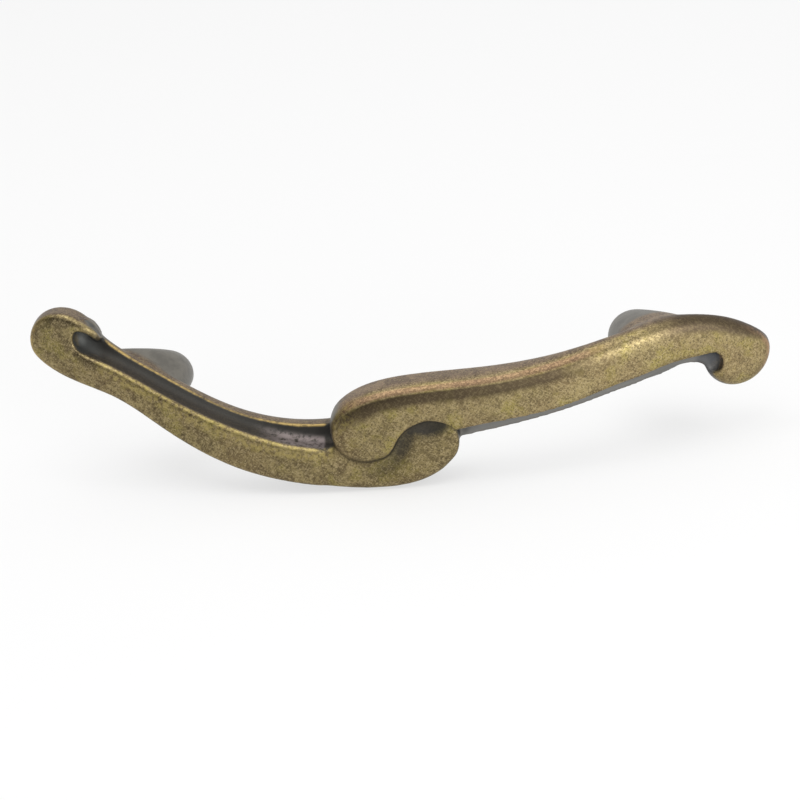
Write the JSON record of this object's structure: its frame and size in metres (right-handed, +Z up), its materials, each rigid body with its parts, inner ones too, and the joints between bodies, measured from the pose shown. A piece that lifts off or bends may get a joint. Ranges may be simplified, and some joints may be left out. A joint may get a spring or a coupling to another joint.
{
  "type": "cabinet pull",
  "caption": "Bow-shaped cabinet or drawer pull with two hooked, interlocking arms on round legs, each leg with a tapped hole in its foot.",
  "frame": {"origin": "midway between the two screw holes, on the mounting face", "axes": "+X along the two screw holes, -Y out of the drawer or door front towards the hand, +Z up"},
  "size_m": [0.1479, 0.0265, 0.0382],
  "materials": {
    "casting": "antique brass plating on a zinc casting, brushed on the raised faces and dark in the recesses"
  },
  "bodies": {
    "root": {"pull_casting": "casting"}
  },
  "joints": []
}
